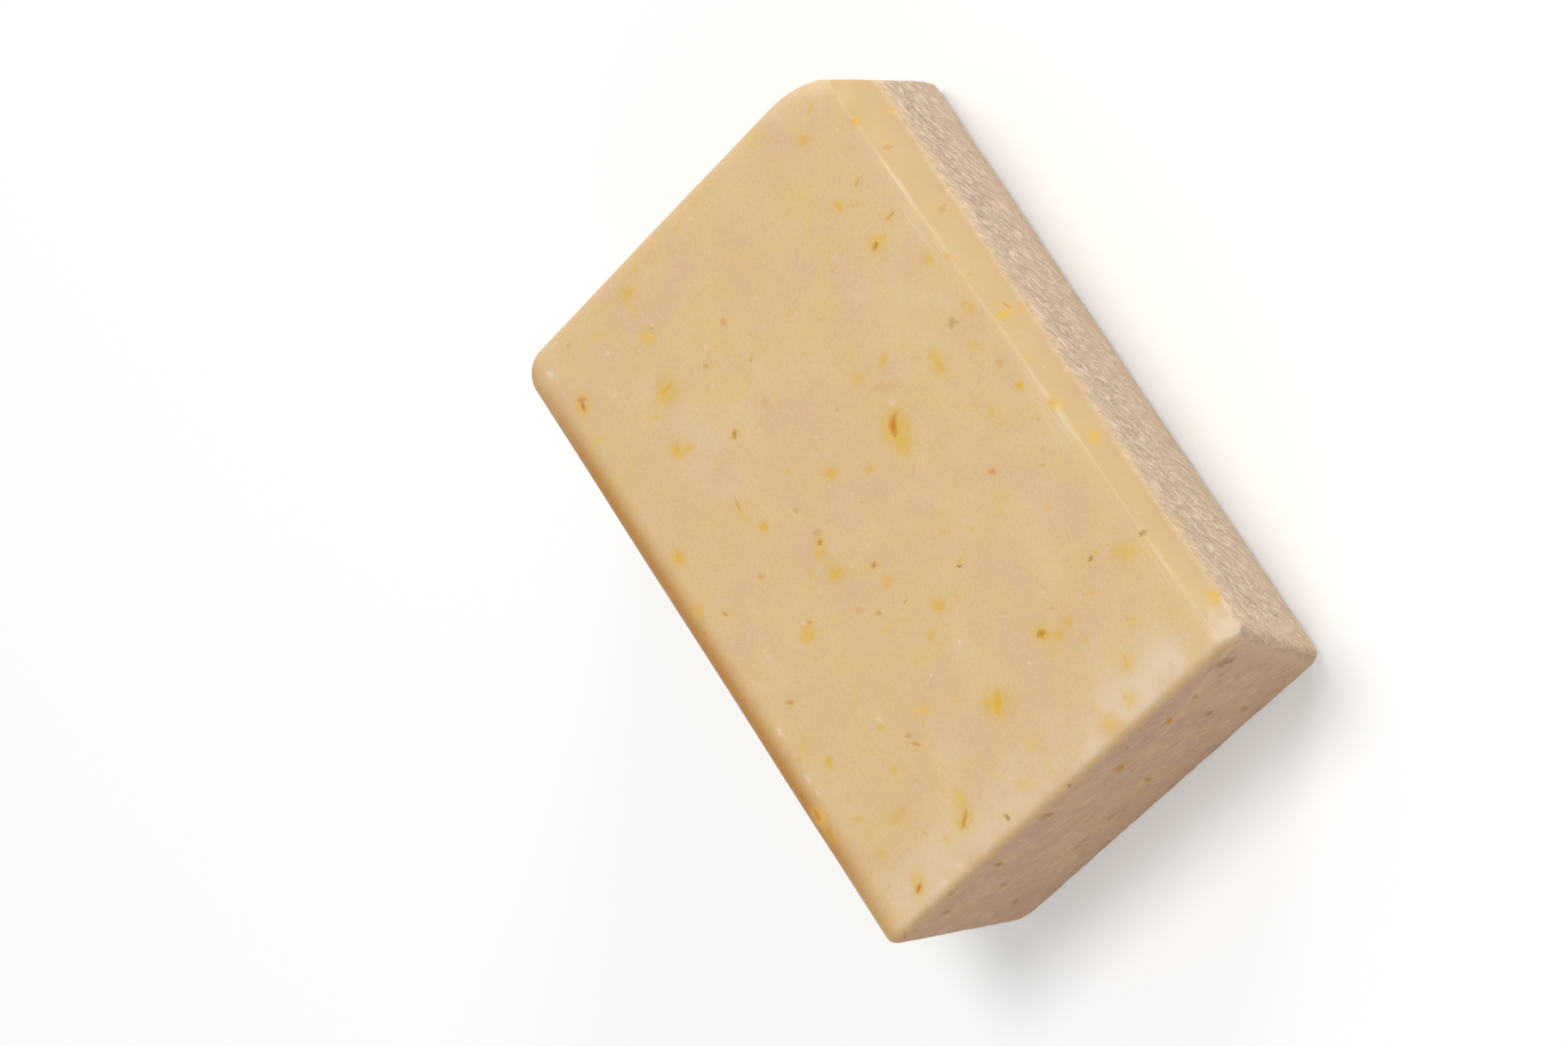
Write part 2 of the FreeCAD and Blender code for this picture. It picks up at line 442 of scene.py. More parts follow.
PALE_SPOTS = (
    Fleck(639, 435, 8, 8, 0, YELLOW, 0.8, True),
    Fleck(705, 410, 7, 6, 60, YELLOW, 0.5, True),
    Fleck(820, 404, 5, 5, 0, YELLOW, 0.6, True),
    Fleck(828, 450, 5, 5, 0, YELLOW, 0.5, True),
    Fleck(715, 459, 5, 5, 0, YELLOW, 0.45, True),
    Fleck(802, 254, 6, 5, 0, YELLOW, 0.4, True),
    Fleck(757, 377, 4, 3, 0, YELLOW, 0.6, True),
    Fleck(1020, 836, 7, 6, 0, YELLOW, 0.7, True),
    Fleck(906, 851, 13, 4, -50, YELLOW, 0.7, True),
    Fleck(892, 764, 6, 5, 0, YELLOW, 0.4, True),
    Fleck(1114, 747, 5, 5, 0, YELLOW, 0.75, True),
    Fleck(1081, 785, 6, 4, -30, YELLOW, 0.5, True),
    Fleck(1211, 689, 5, 4, 0, YELLOW, 0.5, True),
    Fleck(1196, 771, 5, 4, 0, YELLOW, 0.5, True),
    Fleck(938, 905, 12, 5, -55, YELLOW, 0.6, True),
    Fleck(949, 921, 8, 3, -50, YELLOW, 0.5, True),
    Fleck(1114, 1007, 9, 8, 30, YELLOW, 0.6, True),
    Fleck(1097, 1026, 14, 7, 40, YELLOW, 0.5, True),
    Fleck(949, 508, 4, 4, 0, YELLOW, 0.45, True),
    Fleck(1036, 468, 9, 7, 60, YELLOW, 0.35, True),
    Fleck(1009, 635, 5, 5, 0, YELLOW, 0.4, True),
    Fleck(1072, 533, 5, 5, 0, YELLOW, 0.3, True),
    Fleck(933, 724, 5, 5, 0, YELLOW, 0.6, True),
    Fleck(1056, 1033, 6, 6, 0, YELLOW, 0.3, True),
    Fleck(970, 300, 7, 6, 0, YELLOW, 0.3, True),
)


@dataclass
class PlacedFleck:
    """A fleck laid on the bar: its middle, its two half axes and its outward direction."""

    middle: Vector
    along: Vector
    across: Vector
    outward: Vector
    tone: float
    strength: float
    pale: float
    bend: float
    seed: float

    def inverse(self) -> Matrix:
        """The matrix from offsets in space to the fleck's own measure, 1 at its rim."""
        return Matrix((self.along, self.across, self.outward)).transposed().inverted()


class Sprinkling:
    """Lays the named flecks on the faces that show, and more like them on the other faces."""

    hidden_flecks: int = 330
    hidden_length: tuple[float, float] = (0.5, 1.9)
    hidden_width: tuple[float, float] = (0.3, 0.75)
    reach: float = 2.2
    depth: float = 1.2 * MM
    far_away: float = 9.0

    def __init__(self, mesh: bmesh.types.BMesh, viewpoint: Viewpoint, shape: Shape) -> None:
        """Keep what the flecks are laid on.

        Args:
            mesh: the bar's fine mesh, before its surface is worn.
            viewpoint: the camera that the named flecks were seen from.
            shape: the bar's faces and edges.
        """
        self.mesh = mesh
        self.viewpoint = viewpoint
        self.shape = shape
        self.tree = BVHTree.FromBMesh(mesh)
        self.random = random.Random(41)
        self.flecks: list[PlacedFleck] = []

    def lay_named(self, flecks: Iterable[Fleck]) -> None:
        """Lay flecks where the camera sees them, with their sizes true in the picture.

        Args:
            flecks: the flecks, in pixels of the picture.
        """
        for fleck in flecks:
            eye, heading = self.viewpoint.ray(fleck.x, fleck.y)
            middle, normal, _, _ = self.tree.ray_cast(eye, heading)
            if middle is None:
                LOG.warning("a fleck at %s, %s misses the bar", fleck.x, fleck.y)
                continue
            turn = math.radians(fleck.turn)
            axes = []
            for size, angle in ((fleck.length, turn), (fleck.width, turn + math.pi / 2)):
                x = fleck.x + math.cos(angle) * size / 2
                y = fleck.y - math.sin(angle) * size / 2
                _, aside = self.viewpoint.ray(x, y)
                far = (middle - eye).dot(normal) / aside.dot(normal)
                axes.append(eye + aside * far - middle)
            self.flecks.append(PlacedFleck(
                middle, axes[0], axes[1], normal * self.depth, fleck.tone.value, fleck.strength,
                float(fleck.pale), fleck.bend, self.random.uniform(0, 100),
            ))

    def lay_hidden(self) -> None:
        """Scatter flecks over the faces that the camera doesn't see, evenly by area."""
        normal_of_end, _ = self.shape.into_streaked_end()
        faces = [
            face for face in self.mesh.faces
            if face.normal.z < 0.5 and face.normal.dot(normal_of_end) < 0.5
            and face.normal.dot(self.shape.grained()) < 0.6
        ]
        areas = [face.calc_area() for face in faces]
        for face in self.random.choices(faces, weights=areas, k=self.hidden_flecks):
            normal = face.normal
            tangent = normal.orthogonal().normalized()
            tangent = Matrix.Rotation(self.random.uniform(0, math.tau), 3, normal) @ tangent
            length = self.random.triangular(*self.hidden_length, 0.8) * MM
            width = min(self.random.uniform(*self.hidden_width) * MM, length)
            rough = normal.z < -0.5
            tone = self.random.choice([0.0, 0.25, 0.25, 0.4, 0.5, 0.72, 1.0])
            strength = self.random.uniform(0.3, 0.95) * (0.35 if rough else 1.0)
            self.flecks.append(PlacedFleck(
                face.calc_center_median(), tangent * length / 2, normal.cross(tangent) * width / 2,
                normal * self.depth, tone, strength, 0.0, 0.0, self.random.uniform(0, 100),
            ))

    def write(self) -> None:
        """Write each fleck's own measure on the triangles around it, and its glow on the points."""
        place = self.mesh.loops.layers.float_vector.new("fleck_place")
        look = self.mesh.loops.layers.float_vector.new("fleck_look")
        faces = list(self.mesh.faces)
        nearby = KDTree(len(faces))
        for number, face in enumerate(faces):
            nearby.insert(face.calc_center_median(), number)
        nearby.balance()
        best: dict[int, tuple[float, int]] = {}
        inverses = [fleck.inverse() for fleck in self.flecks]
        for order, fleck in enumerate(self.flecks):
            radius = max(fleck.along.length, fleck.across.length) * self.reach + 0.5 * MM
            for centre, number, _ in nearby.find_range(fleck.middle, radius):
                local = inverses[order] @ (centre - fleck.middle)
                if abs(local.z) > 1 or faces[number].normal.dot(fleck.outward) < 0:
                    continue
                distance = math.hypot(local.x, local.y)
                if number not in best or distance < best[number][0]:
                    best[number] = (distance, order)
        nothing = Vector((self.far_away, self.far_away, 0))
        for number, face in enumerate(faces):
            order = best[number][1] if number in best else None
            for loop in face.loops:
                if order is None:
                    loop[place] = nothing
                    continue
                fleck = self.flecks[order]
                local = inverses[order] @ (loop.vert.co - fleck.middle)
                curve = fleck.bend * (0.5 - local.x ** 2)
                loop[place] = Vector((local.x, local.y - curve, fleck.seed))
                loop[look] = Vector((fleck.tone, fleck.strength, fleck.pale))
        self.write_glow()

    def write_glow(self) -> None:
        """Write the soft stain that each fleck leaves in the soap around it."""
        glow = self.mesh.verts.layers.float_vector.new("fleck_glow")
        verts = list(self.mesh.verts)
        nearby = KDTree(len(verts))
        for number, vert in enumerate(verts):
            nearby.insert(vert.co, number)
        nearby.balance()
        for fleck in self.flecks:
            spread = 0.35 * MM + 1.15 * max(fleck.along.length, fleck.across.length)
            size = min(math.sqrt(fleck.along.length * fleck.across.length) / (0.45 * MM), 1.3)
            for _, number, distance in nearby.find_range(fleck.middle, spread * 2.4):
                share = math.exp(-((distance / spread) ** 2)) * fleck.strength * size
                stain = Vector((share * (1 - fleck.pale), share * fleck.tone, share * fleck.pale))
                verts[number][glow] = verts[number][glow] + stain


@dataclass
class SoapBar:
    """The bar itself: a fine copy of its solid, softened, worn and dressed."""

    shape: Shape
    coarse_step: float = 0.62 * MM
    sharp_angle: float = 20.0
    soft_reach: float = 0.45 * MM
    brow_reach: float = 1.1 * MM

    def fine_mesh(self, node: bpy.types.Object) -> bmesh.types.BMesh:
        """Copy the solid's mesh and cut it up finely.

        Args:
            node: the solid's own object, which isn't changed.

        Returns:
            The fine mesh, of triangles.
        """
        mesh = bmesh.new()
        mesh.from_mesh(node.data)
        bmesh.ops.remove_doubles(mesh, verts=mesh.verts, dist=0.001 * MM)
        bmesh.ops.dissolve_limit(mesh, angle_limit=math.radians(0.3), verts=mesh.verts, edges=mesh.edges)
        sharp = [
            (edge.verts[0].co.copy(), edge.verts[1].co.copy()) for edge in mesh.edges
            if edge.calc_face_angle(0) > math.radians(self.sharp_angle)
        ]
        low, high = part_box("soap_bar")
        for axis in range(3):
            self.slice(mesh, axis, low[axis], high[axis], self.coarse_step)
        grained, streaked = self.shape.grained(), Vector((1, 0, 0))
        half = self.coarse_step / 2
        for facing, axes in ((grained, (0, 2)), (streaked, (1, 2))):
            for axis in axes:
                self.slice(mesh, axis, low[axis] + half, high[axis], self.coarse_step, facing)
        bmesh.ops.remove_doubles(mesh, verts=mesh.verts, dist=0.03 * MM)
        bmesh.ops.dissolve_degenerate(mesh, dist=0.03 * MM, edges=mesh.edges)
        bmesh.ops.triangulate(mesh, faces=mesh.faces)
        normal, offset = self.shape.beyond_brow()
        brow = [
            edge for edge in sharp
            if all(abs(normal.dot(end) - offset * MM) < 0.6 * MM for end in edge)
            or all(end.x > 39 * MM and end.y > 25 * MM for end in edge)
        ]
        self.soften(mesh, brow, self.brow_reach, 7)
        self.soften(mesh, sharp, self.soft_reach, 2)
        self.unfold(mesh)
        return mesh

    @staticmethod
    def slice(mesh: bmesh.types.BMesh, axis: int, start: float, end: float, step: float,
              facing: Optional[Vector] = None) -> None:
        """Cut the mesh by evenly spaced planes across one axis.

        Args:
            mesh: what is cut.
            axis: 0, 1 or 2 for X, Y or Z.
            start: where the first plane would stand.
            end: where the planes stop.
            step: how far apart they are.
            facing: if given, only faces that look this way are cut.
        """
        normal = Vector((0, 0, 0))
        normal[axis] = 1
        last = int((end - start) / step)
        waiting: dict[int, list[bmesh.types.BMFace]] = {number: [] for number in range(1, last + 1)}

        def queue(faces: Iterable[bmesh.types.BMFace], first: int) -> None:
            """Let each face wait for the next plane that passes through it."""
            for face in faces:
                reach = [vert.co[axis] for vert in face.verts]
                number = max(first, math.floor((min(reach) - start) / step + 1e-3) + 1)
                if number <= last and max(reach) > start + step * number + 1e-7:
                    waiting[number].append(face)

        queue([f for f in mesh.faces if facing is None or f.normal.dot(facing) > 0.8], 1)
        for number in range(1, last + 1):
            faces = waiting.pop(number)
            edges = {edge for face in faces for edge in face.edges}
            verts = {vert for edge in edges for vert in edge.verts}
            cut = bmesh.ops.bisect_plane(
                mesh, geom=faces + list(edges) + list(verts), dist=1e-7,
                plane_co=normal * (start + step * number), plane_no=normal,
            )
            queue([part for part in cut["geom"] if isinstance(part, bmesh.types.BMFace)], number + 1)

    @staticmethod
    def soften(mesh: bmesh.types.BMesh, sharp: list[tuple[Vector, Vector]], reach: float,
               rounds: int) -> None:
        """Take the hard line off some edges, as handling does.

        Args:
            mesh: the fine mesh.
            sharp: both ends of each edge.
            reach: how far from the edge the mesh is smoothed.
            rounds: how many times it is smoothed.
        """
        verts = list(mesh.verts)
        tree = KDTree(len(verts))
        for number, vert in enumerate(verts):
            tree.insert(vert.co, number)
        tree.balance()
        near = set()
        for start, end in sharp:
            steps = max(1, round((end - start).length / (reach / 2)))
            for step in range(steps + 1):
                spot = start.lerp(end, step / steps)
                near.update(verts[n] for _, n, _ in tree.find_range(spot, reach))
        for _ in range(rounds):
            bmesh.ops.smooth_vert(
                mesh, verts=list(near), factor=0.5,
                use_axis_x=True, use_axis_y=True, use_axis_z=True,
            )

    @staticmethod
    def unfold(mesh: bmesh.types.BMesh) -> None:
        """Smooth away the few tiny folds that softening a corner leaves."""
        for _ in range(12):
            mesh.normal_update()
            verts = {
                vert for edge in mesh.edges if edge.calc_face_angle(0) > math.radians(50)
                for end in edge.verts for link in end.link_edges for vert in link.verts
            }
            if not verts:
                break
            bmesh.ops.smooth_vert(
                mesh, verts=list(verts), factor=0.5,
                use_axis_x=True, use_axis_y=True, use_axis_z=True,
            )
        mesh.normal_update()

    def build(self, viewpoint: Viewpoint) -> bpy.types.Object:
        """Make the bar's own mesh and hand it over to the frame.

        Args:
            viewpoint: the camera that the named flecks were seen from.

        Returns:
            The finished piece, without its material.
        """
        mesh = self.fine_mesh(frame["nodes"]["soap_bar"])
        LOG.info("fine mesh: %d triangles", len(mesh.faces))
        sprinkling = Sprinkling(mesh, viewpoint, self.shape)
        for flecks in (FRONT_FLECKS, STRIP_FLECKS, END_FLECKS, RIM_FLECKS, PALE_SPOTS):
            sprinkling.lay_named(flecks)
        sprinkling.lay_hidden()
        sprinkling.write()
        LOG.info("flecks: %d", len(sprinkling.flecks))
        Relief(self.shape).wear(mesh)
        data = bpy.data.meshes.new("soap")
        mesh.to_mesh(data)
        mesh.free()
        data.polygons.foreach_set("use_smooth", [True] * len(data.polygons))
        piece = bpy.data.objects.new("soap", data)
        bpy.context.scene.collection.objects.link(piece)
        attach(piece, "root")
        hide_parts("soap_bar")
        return piece


@dataclass(frozen=True)
class Relief:
    """How far the surface lies below the solid's, in millimetres; it never rises above it."""

    shape: Shape
    wave_depth: float = 0.10
    wave_length: float = 17.0
    grain_depth: float = 0.27
    grain_along: float = 0.85
    grain_across: float = 2.8
    grain_slant: float = 18.0
    streak_depth: float = 0.06
    streak_slant: float = -38.0
    back_depth: float = 0.16
    nick_depth: float = 0.17

    def wear(self, mesh: bmesh.types.BMesh) -> None:
        """Sink every point of the mesh by the relief of the face that it lies on."""
        mesh.normal_update()
        moves = [(vert, vert.normal * (self.sink(vert) * MM)) for vert in mesh.verts]
        for vert, move in moves:
            vert.co -= move

    def sink(self, vert: bmesh.types.BMVert) -> float:
        """How deep one point lies.

        Args:
            vert: the point.

        Returns:
            The depth in millimetres, 0 or more.
        """
        point = vert.co / MM
        wave = noise.noise(point / self.wave_length) + 0.4 * noise.noise(point / 6.0 + Vector((7, 3, 1)))
        depth = self.wave_depth * (0.6 + 0.6 * wave)
        normal, offset = self.shape.beyond_brow()
        past_brow = normal.dot(point) - offset
        normal, offset = self.shape.into_grained_side()
        on_side = fade(normal.dot(point) - offset, -1.6, -0.5)
        depth += on_side * fade(past_brow, 0.05, 0.7) * self.grain(point, past_brow)
        depth += fade(abs(past_brow), 1.3, 0.1) * self.nicks(point)
        normal, offset = self.shape.into_streaked_end()
        on_end = fade(normal.dot(point) - offset, -0.9, -0.1)
        depth += on_end * self.streaks(point)
        depth += fade(point.z, 1.2, 0.2) * self.back(point)
        return max(depth, 0.0)

    def grain(self, point: Vector, past_brow: float) -> float:
        """The leathery wrinkles of the grained side, which run down it at a slant."""
        slant = math.radians(self.grain_slant)
        along = point.x * math.cos(slant) + point.z * math.sin(slant)
        down = -point.x * math.sin(slant) + point.z * math.cos(slant)
        drift = noise.noise(Vector((point.x / 7, 0, point.z / 7))) * 1.2
        fine = noise.noise(Vector(((along + drift) / self.grain_along, 0, down / self.grain_across)))
        broad = noise.noise(Vector(((along + drift) / 2.6, 5, down / 6.0)))
        strength = 0.35 + 0.65 * fade(past_brow, 15.0, 2.0)
        strength *= 0.65 + 0.7 * noise.noise(Vector((point.x / 9, 3, point.z / 5)))
        return self.grain_depth * strength * (0.9 + 0.9 * fine + 0.7 * broad)

    def nicks(self, point: Vector) -> float:
        """The uneven line of the brow, where the shaving blade came out of the soap."""
        slow = noise.noise(Vector((point.x / 4.5, 11, 2)))
        quick = noise.noise(Vector((point.x / 1.1, 17, point.y / 2)))
        return self.nick_depth * max(0.0, 0.5 + 0.9 * slow + 0.5 * quick)

    def streaks(self, point: Vector) -> float:
        """The fine ridges that the saw left across the streaked end, at a slant."""
        slant = math.radians(self.streak_slant)
        along = point.y * math.cos(slant) + point.z * math.sin(slant)
        aside = point.z * math.cos(slant) - point.y * math.sin(slant)
        fine = noise.noise(Vector((9, along / 4.5, aside / 0.75)))
        broad = noise.noise(Vector((2, along / 9, aside / 2.6)))
        return self.streak_depth * (1 + 0.9 * fine + 0.7 * broad)

    def back(self, point: Vector) -> float:
        """The shallow streaks and pits of the rough back face."""
        fine = noise.noise(Vector((point.x / 6, (point.y + point.x * 0.08) / 1.4, 4)))
        broad = noise.noise(Vector((point.x / 14, point.y / 4, 8)))
        return self.back_depth * (0.9 + 0.7 * fine + 0.7 * broad)


class Tree:
    """Adds nodes to one node tree and joins them up."""

    def __init__(self, tree: bpy.types.NodeTree) -> None:
        """Keep the tree that nodes are added to."""
        self.tree = tree

    def node(self, kind: str, **settings: Any) -> bpy.types.Node:
        """Add a node and set its properties."""
        made = self.tree.nodes.new(kind)
        for name, value in settings.items():
            setattr(made, name, value)
        return made

    def feed(self, socket: bpy.types.NodeSocket, value: Socket) -> None:
        """Join another node's output to a socket, or set the socket's own value."""
        if isinstance(value, bpy.types.NodeSocket):
            self.tree.links.new(value, socket)
        else:
            socket.default_value = value

    def math(self, operation: str, *values: Socket, clamp: bool = False) -> bpy.types.NodeSocket:
        """Add a Math node and return its result."""
        made = self.node("ShaderNodeMath", operation=operation, use_clamp=clamp)
        for socket, value in zip(made.inputs, values):
            self.feed(socket, value)
        return made.outputs[0]

    def vector(self, operation: str, *values: Socket, output: int = 0) -> bpy.types.NodeSocket:
        """Add a Vector Math node and return one of its results."""
        made = self.node("ShaderNodeVectorMath", operation=operation)
        for socket, value in zip(made.inputs, values):
            self.feed(socket, value)
        return made.outputs[output]

    def rise(self, value: Socket, start: float, end: float, low: float = 0.0,
             high: float = 1.0) -> bpy.types.NodeSocket:
        """Map a value smoothly from one range to another and return the result."""
        made = self.node("ShaderNodeMapRange", interpolation_type="SMOOTHSTEP")
        for socket, setting in zip(made.inputs, (value, start, end, low, high)):
            self.feed(socket, setting)
        return made.outputs[0]

    def mix(self, share: Socket, first: Socket, second: Socket,
            blend: str = "MIX") -> bpy.types.NodeSocket:
        """Mix two colours and return the result."""
        made = self.node("ShaderNodeMix", data_type="RGBA", blend_type=blend)
        for name, value in (("Factor_Float", share), ("A_Color", first), ("B_Color", second)):
            self.feed(next(s for s in made.inputs if s.identifier == name), value)
        return next(s for s in made.outputs if s.identifier == "Result_Color")

    def noise(self, place: Socket, scale: float, detail: float = 2.0, roughness: float = 0.5,
              distortion: float = 0.0) -> bpy.types.NodeSocket:
        """Add a Noise texture and return its value."""
        made = self.node("ShaderNodeTexNoise")
        self.feed(made.inputs["Vector"], place)
        made.inputs["Scale"].default_value = scale
        made.inputs["Detail"].default_value = detail
        made.inputs["Roughness"].default_value = roughness
        made.inputs["Distortion"].default_value = distortion
        return made.outputs["Fac"]

    def stretch(self, place: Socket, turn: tuple, scale: tuple) -> bpy.types.NodeSocket:
        """Turn a pattern's coordinates, then draw the pattern out, and return them."""
        made = self.node("ShaderNodeMapping", vector_type="TEXTURE")
        self.feed(made.inputs["Vector"], place)
        made.inputs["Rotation"].default_value = [math.radians(angle) for angle in turn]
        made.inputs["Scale"].default_value = scale
        return made.outputs[0]

    def group(self, tree: bpy.types.NodeTree, **values: Socket) -> bpy.types.Node:
        """Place a node group and feed its inputs."""
        made = self.node("ShaderNodeGroup", node_tree=tree)
        for name, value in values.items():
            self.feed(made.inputs[name], value)
        return made


class Group(Tree):
    """A node group, with its named inputs and outputs."""

    def __init__(self, name: str, inputs: dict[str, str], outputs: dict[str, str]) -> None:
        """Make an empty group.

        Args:
            name: the group's name.
            inputs: the kind of each input socket, by name.
            outputs: the kind of each output socket, by name.
        """
        super().__init__(bpy.data.node_groups.new(name, "ShaderNodeTree"))
        for sockets, way in ((inputs, "INPUT"), (outputs, "OUTPUT")):
            for label, kind in sockets.items():
                self.tree.interface.new_socket(name=label, in_out=way, socket_type=kind)
        self.inputs = self.node("NodeGroupInput").outputs
        self.outputs = self.node("NodeGroupOutput").inputs


NUMBER, VECTOR, COLOUR = "NodeSocketFloat", "NodeSocketVector", "NodeSocketColor"


def beyond_group() -> bpy.types.NodeTree:
    """A mask that rises from 0 to 1 across a plane, with a ragged rim.

    Returns:
        The node group, with the signed distance in metres as its second output.
    """
    group = Group(
        "beyond_a_plane",
        {"place": VECTOR, "normal": VECTOR, "offset": NUMBER, "softness": NUMBER,
         "ragged": NUMBER},
        {"mask": NUMBER, "distance": NUMBER},
    )
    inputs = group.inputs
    along = group.vector("DOT_PRODUCT", inputs["place"], inputs["normal"], output=1)
    distance = group.math("SUBTRACT", along, inputs["offset"])
    wobble = group.math("SUBTRACT", group.noise(inputs["place"], 380, 5, 0.72), 0.5)
    rough = group.math("MULTIPLY_ADD", wobble, inputs["ragged"], distance)
    share = group.math("DIVIDE", rough, inputs["softness"])
    group.feed(group.outputs["mask"], group.rise(share, -0.5, 0.5))
    group.feed(group.outputs["distance"], distance)
    return group.tree


def fleck_group() -> bpy.types.NodeTree:
    """The body of a petal fleck, in its own measure, with a torn and frayed rim."""
    group = Group(
        "petal_fleck", {"place": VECTOR, "fray": NUMBER},
        {"body": NUMBER, "heart": NUMBER, "dent": NUMBER},
    )
    place = group.inputs["place"]
    torn = group.node("ShaderNodeTexNoise")
    group.feed(torn.inputs["Vector"], place)
    torn.inputs["Scale"].default_value = 1.3
    torn.inputs["Detail"].default_value = 5.0
    torn.inputs["Roughness"].default_value = 0.72
    centred = group.vector("SUBTRACT", torn.outputs["Color"], (0.5, 0.5, 0.5))
    shift = group.node("ShaderNodeVectorMath", operation="SCALE")
    group.feed(shift.inputs[0], centred)
    group.feed(shift.inputs["Scale"], group.inputs["fray"])
    moved = group.vector("ADD", place, shift.outputs[0])
    flat = group.vector("MULTIPLY", moved, (1.0, 1.0, 0.0))
    around = group.vector("NORMALIZE", flat)
    lobes = group.noise(group.vector("ADD", group.vector("MULTIPLY", place, (0.0, 0.0, 1.0)), around),
                        1.4, 1.0, 0.4)
    lobed = group.math("MULTIPLY_ADD", group.rise(lobes, 0.34, 0.66, -0.25, 0.25),
                       group.inputs["fray"], 1.0)
    reach = group.math("DIVIDE", group.vector("LENGTH", flat, output=1), lobed)
    group.feed(group.outputs["body"], group.rise(reach, 1.3, 0.7))
    group.feed(group.outputs["heart"], group.rise(reach, 0.9, 0.3))
    group.feed(group.outputs["dent"], group.rise(group.vector("LENGTH", flat, output=1), 1.7, 0.2))
    return group.tree


def cloud_group() -> bpy.types.NodeTree:
    """Soft cloudy patches, as where soap sets unevenly."""
    group = Group(
        "cloudy_patches", {"place": VECTOR, "scale": NUMBER, "low": NUMBER, "high": NUMBER},
        {"mask": NUMBER},
    )
    inputs = group.inputs
    texture = group.node("ShaderNodeTexNoise")
    group.feed(texture.inputs["Vector"], inputs["place"])
    group.feed(texture.inputs["Scale"], inputs["scale"])
    texture.inputs["Detail"].default_value = 3.0
    texture.inputs["Distortion"].default_value = 0.6
    made = group.node("ShaderNodeMapRange", interpolation_type="SMOOTHSTEP")
    group.feed(made.inputs[0], texture.outputs["Fac"])
    group.feed(made.inputs[1], inputs["low"])
    group.feed(made.inputs[2], inputs["high"])
    group.feed(group.outputs["mask"], made.outputs[0])
    return group.tree


def pinprick_group() -> bpy.types.NodeTree:
    """Tiny scattered dots of differing strength."""
    group = Group(
        "pinpricks", {"place": VECTOR, "scale": NUMBER, "size": NUMBER, "share": NUMBER},
        {"mask": NUMBER},
    )
    inputs = group.inputs
    cells = group.node("ShaderNodeTexVoronoi")
    group.feed(cells.inputs["Vector"], inputs["place"])
    group.feed(cells.inputs["Scale"], inputs["scale"])
    near = group.math("DIVIDE", cells.outputs["Distance"], inputs["size"])
    dot = group.rise(near, 1.0, 0.3)
    split = group.node("ShaderNodeSeparateColor")
    group.feed(split.inputs[0], cells.outputs["Color"])
    kept = group.math("LESS_THAN", split.outputs[0], inputs["share"])
    group.feed(group.outputs["mask"], group.math(
        "MULTIPLY", group.math("MULTIPLY", dot, kept), split.outputs[1]))
    return group.tree


